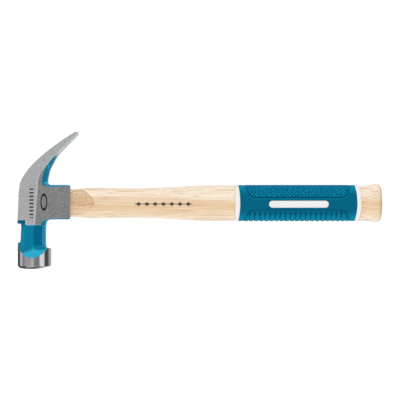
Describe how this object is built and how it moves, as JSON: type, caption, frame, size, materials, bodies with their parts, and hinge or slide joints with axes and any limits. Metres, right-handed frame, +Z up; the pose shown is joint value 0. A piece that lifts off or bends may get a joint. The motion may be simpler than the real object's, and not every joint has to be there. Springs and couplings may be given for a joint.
{
  "type": "claw hammer",
  "caption": "Claw hammer with a forged steel head, curved split claws, a wedged hickory handle and a ribbed soft grip over a white sleeve.",
  "frame": {"origin": "centre of the bounding box in plan, at the level of the surface that the hammer lies on", "axes": "the hammer lies on its cheek: +X along the handle from the head to the butt, +Y from the striking face to the claw tips, +Z up across the cheeks"},
  "size_m": [0.3358, 0.1262, 0.0308],
  "materials": {
    "ground_steel": "ground steel, fine brushed lines, bright poll; its forged edges are painted teal",
    "hickory": "pale hickory, fine straight grain, satin lacquer",
    "wedge_wood": "end grain of a hardwood wedge, unfinished",
    "wedge_steel": "dark mild steel, as stamped",
    "sleeve_plastic": "white moulded plastic, satin",
    "overmold_rubber": "teal thermoplastic rubber, matte, dotted and ribbed panels"
  },
  "bodies": {
    "root": {"head": "ground_steel", "handle": "hickory", "wood_wedge": "wedge_wood", "steel_wedge_front": "wedge_steel", "steel_wedge_rear": "wedge_steel", "grip_sleeve": "sleeve_plastic", "grip_overmold": "overmold_rubber"}
  },
  "joints": []
}
